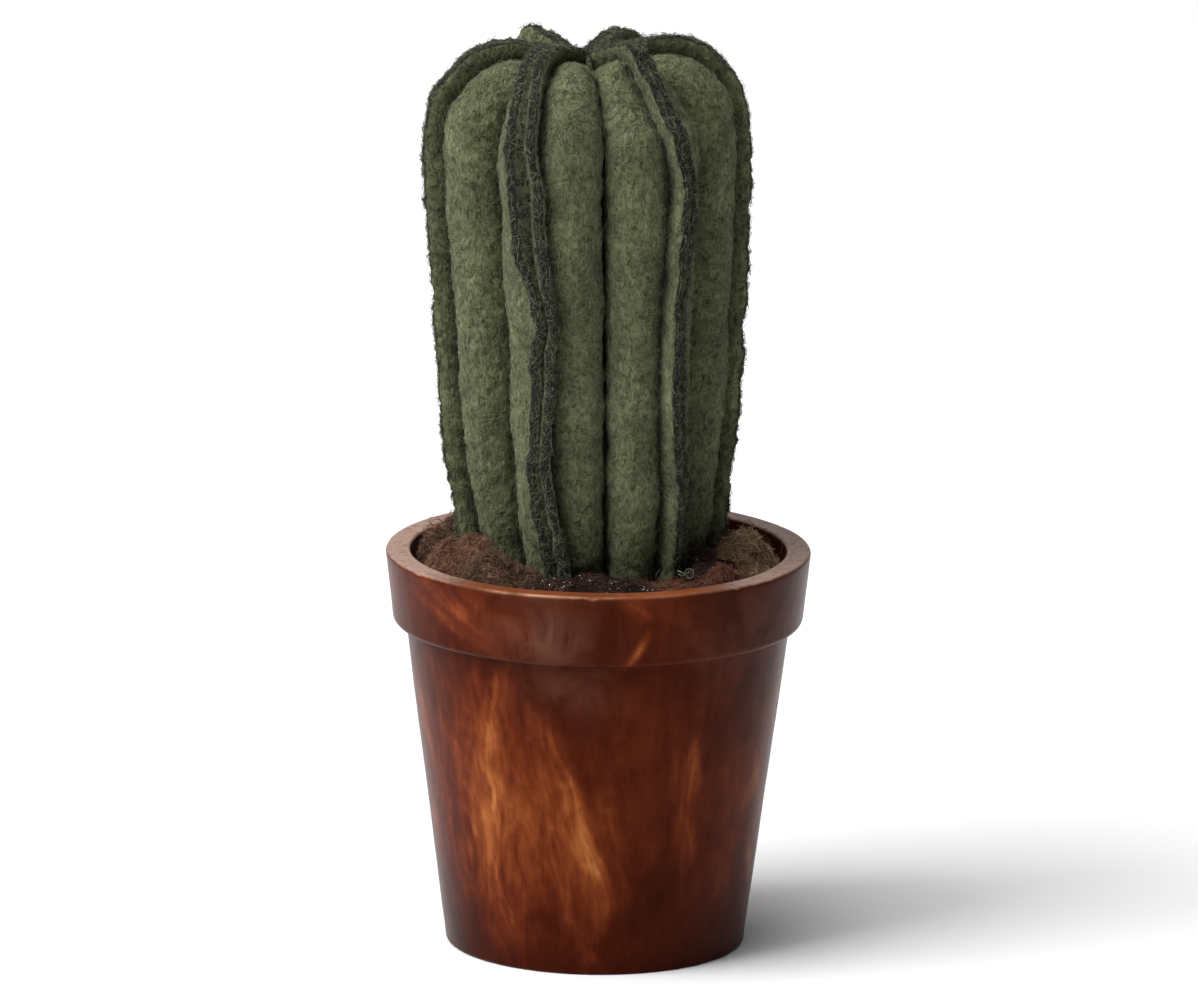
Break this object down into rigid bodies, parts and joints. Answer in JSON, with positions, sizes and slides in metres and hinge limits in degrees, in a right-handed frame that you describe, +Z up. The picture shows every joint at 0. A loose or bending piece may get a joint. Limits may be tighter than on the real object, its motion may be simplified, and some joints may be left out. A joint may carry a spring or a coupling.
{
  "type": "potted felt cactus",
  "caption": "Column-shaped cactus sewn from stuffed felt ribs with raw seams outwards, standing in a small stepped pot filled with loose wool as soil.",
  "frame": {"origin": "centre of the pot's underside", "axes": "+Z up along the pot's axis, -Y towards the front, +X to the right seen from the front"},
  "size_m": [0.055, 0.055, 0.1202],
  "materials": {
    "pot_paint": "cast pot painted dark reddish brown with brushed orange-brown streaks, satin gloss",
    "felt": "mottled grey-green wool felt with short curly fibres and raw fuzzy edges",
    "stuffing": "loose off-white fibre filling",
    "thread": "dark green sewing thread",
    "brown_wool": "tangled mid-brown wool",
    "dark_grit": "dark brown wool crumbs with fine glints",
    "tan_wool": "curly tan wool",
    "red_wool": "reddish-brown wool"
  },
  "bodies": {
    "root": {"pot": "pot_paint", "packing": "stuffing", "soil_wool": "brown_wool", "soil_grit": "dark_grit", "tuft_left": "brown_wool", "tuft_right": "tan_wool", "tuft_front": "red_wool", "rib_felt_1": "felt", "rib_felt_2": "felt", "rib_felt_3": "felt", "rib_felt_4": "felt", "rib_felt_5": "felt", "rib_felt_6": "felt", "rib_stuffing_1": "stuffing", "rib_stuffing_2": "stuffing", "rib_stuffing_3": "stuffing", "rib_stuffing_4": "stuffing", "rib_stuffing_5": "stuffing", "rib_stuffing_6": "stuffing", "seam_thread_1": "thread", "seam_thread_2": "thread", "seam_thread_3": "thread", "seam_thread_4": "thread", "seam_thread_5": "thread", "seam_thread_6": "thread"}
  },
  "joints": []
}
